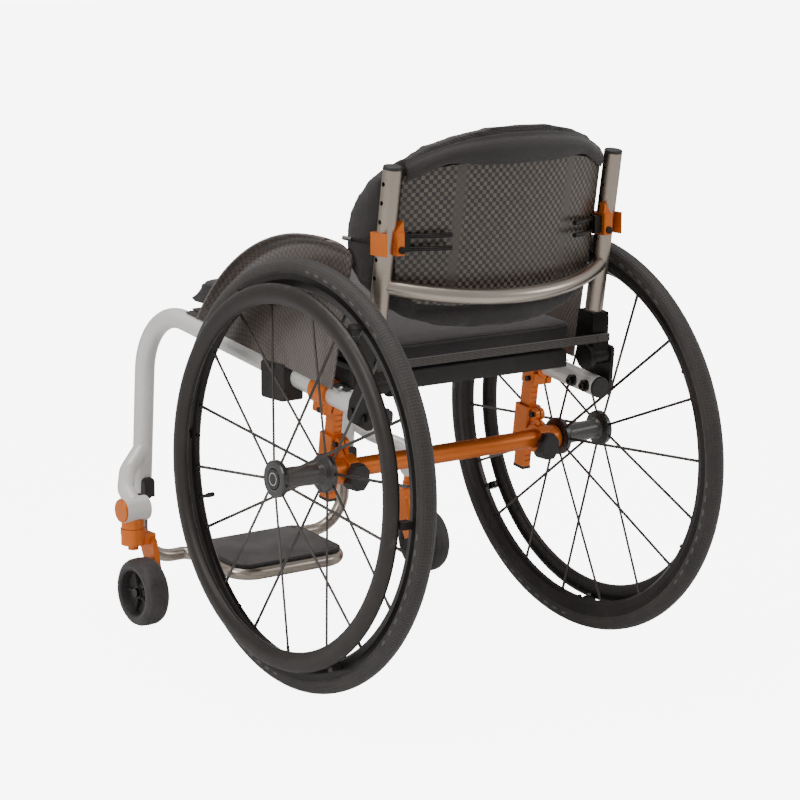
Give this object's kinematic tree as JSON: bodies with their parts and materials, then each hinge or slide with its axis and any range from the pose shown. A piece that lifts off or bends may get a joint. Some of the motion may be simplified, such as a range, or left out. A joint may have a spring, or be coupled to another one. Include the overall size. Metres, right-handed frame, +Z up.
{
  "type": "manual wheelchair",
  "caption": "Rigid-frame manual wheelchair with cambered quick-release spoked wheels, swivelling single-arm casters, hoop footrest and a fold-down carbon-shell back.",
  "frame": {"origin": "on the floor under the middle of the chair's box", "axes": "+Z up, the user faces -Y, the user's left is +X"},
  "size_m": [0.5972, 0.818, 0.773],
  "materials": {
    "frame_paint": "satin warm silver-white paint",
    "orange": "satin orange anodised aluminium",
    "titanium": "brushed titanium",
    "silver": "satin silver aluminium",
    "black_metal": "black anodised aluminium",
    "dark_alloy": "hard-anodised dark grey aluminium",
    "black_plastic": "moulded black plastic",
    "carbon": "checker-woven carbon fibre in clear resin",
    "fabric_black": "black upholstery fabric over foam",
    "webbing": "dark woven webbing",
    "tyre_rubber": "black rubber tyre",
    "caster_rubber": "soft black caster tyre",
    "spoke_black": "black coated steel blades",
    "bolt_black": "black oxide cap screws",
    "grip_black": "black plate with gritty sheet"
  },
  "bodies": {
    "frame": {"side_tube_left": "frame_paint", "side_tube_right": "frame_paint", "caster_wing_left": "frame_paint", "caster_wing_right": "frame_paint", "caster_necks": "orange", "barrel_caps": "orange", "camber_tube": "orange", "axle_post_left": "orange", "axle_post_right": "orange", "axle_bracket_left": "orange", "axle_bracket_right": "orange", "footrest_leg_left": "titanium", "footrest_leg_right": "titanium", "footrest_hoop": "titanium", "footplate": "grip_black", "leg_clamps": "black_plastic", "tube_plugs": "black_plastic", "antitip_receivers": "black_plastic", "guard_clamps": "black_plastic", "seat_sling": "fabric_black", "seat_cushion": "fabric_black", "side_guard_left": "carbon", "side_guard_right": "carbon", "hinge_plate_left": "black_metal", "hinge_plate_right": "black_metal", "frame_bolts": "bolt_black"},
    "backrest": {"cane_left": "titanium", "cane_right": "titanium", "rigidizer_bar": "titanium", "cane_caps": "black_plastic", "cane_socket_left": "black_metal", "cane_socket_right": "black_metal", "shell_arms": "black_metal", "back_shell": "carbon", "back_pad": "fabric_black", "shell_clamps": "orange", "clamp_screws": "bolt_black", "release_strap": "webbing"},
    "wheel_left": {"tyre_left": "tyre_rubber", "rim_left": "dark_alloy", "handrim_left": "dark_alloy", "hub_left": "dark_alloy", "spokes_left": "spoke_black"},
    "axle_left": {"quick_axle_left": "silver"},
    "button_left": {"release_button_left": "black_plastic"},
    "caster_fork_left": {"caster_fork_left": "orange", "caster_bolt_left": "bolt_black"},
    "caster_wheel_left": {"caster_tyre_left": "caster_rubber", "caster_core_left": "black_plastic"},
    "wheel_right": {"tyre_right": "tyre_rubber", "rim_right": "dark_alloy", "handrim_right": "dark_alloy", "hub_right": "dark_alloy", "spokes_right": "spoke_black"},
    "axle_right": {"quick_axle_right": "silver"},
    "button_right": {"release_button_right": "black_plastic"},
    "caster_fork_right": {"caster_fork_right": "orange", "caster_bolt_right": "bolt_black"},
    "caster_wheel_right": {"caster_tyre_right": "caster_rubber", "caster_core_right": "black_plastic"}
  },
  "joints": [
    {"name": "back_fold", "type": "hinge", "parent": "frame", "child": "backrest", "pos_m": [0, 0.214, 0.429], "axis": [1, 0, 0], "range_deg": [0, 60], "deforming": ["seat_cushion", "back_pad"]},
    {"name": "wheel_release_left", "type": "slide", "parent": "frame", "child": "axle_left", "axis": [0.9994, 0, 0.0349], "range_m": [0, 0.12]},
    {"name": "release_button_left", "type": "slide", "parent": "axle_left", "child": "button_left", "axis": [-0.9994, 0, -0.0349], "range_m": [0, 0.0032], "stiffness_N_per_m": 600, "springref_m": -0.001},
    {"name": "wheel_spin_left", "type": "hinge", "parent": "axle_left", "child": "wheel_left", "pos_m": [0.25, 0.114, 0.29483], "axis": [0.9994, 0, 0.0349], "continuous": true},
    {"name": "caster_swivel_left", "type": "hinge", "parent": "frame", "child": "caster_fork_left", "pos_m": [0.262, -0.3, 0.14], "axis": [0, 0, 1], "continuous": true},
    {"name": "caster_spin_left", "type": "hinge", "parent": "caster_fork_left", "child": "caster_wheel_left", "pos_m": [0.262, -0.274, 0.051], "axis": [1, 0, 0], "continuous": true},
    {"name": "wheel_release_right", "type": "slide", "parent": "frame", "child": "axle_right", "axis": [-0.9994, 0, 0.0349], "range_m": [0, 0.12]},
    {"name": "release_button_right", "type": "slide", "parent": "axle_right", "child": "button_right", "axis": [0.9994, 0, -0.0349], "range_m": [0, 0.0032], "stiffness_N_per_m": 600, "springref_m": -0.001},
    {"name": "wheel_spin_right", "type": "hinge", "parent": "axle_right", "child": "wheel_right", "pos_m": [-0.25, 0.114, 0.29483], "axis": [-0.9994, 0, 0.0349], "continuous": true},
    {"name": "caster_swivel_right", "type": "hinge", "parent": "frame", "child": "caster_fork_right", "pos_m": [-0.262, -0.3, 0.14], "axis": [0, 0, 1], "continuous": true},
    {"name": "caster_spin_right", "type": "hinge", "parent": "caster_fork_right", "child": "caster_wheel_right", "pos_m": [-0.262, -0.274, 0.051], "axis": [1, 0, 0], "continuous": true}
  ]
}
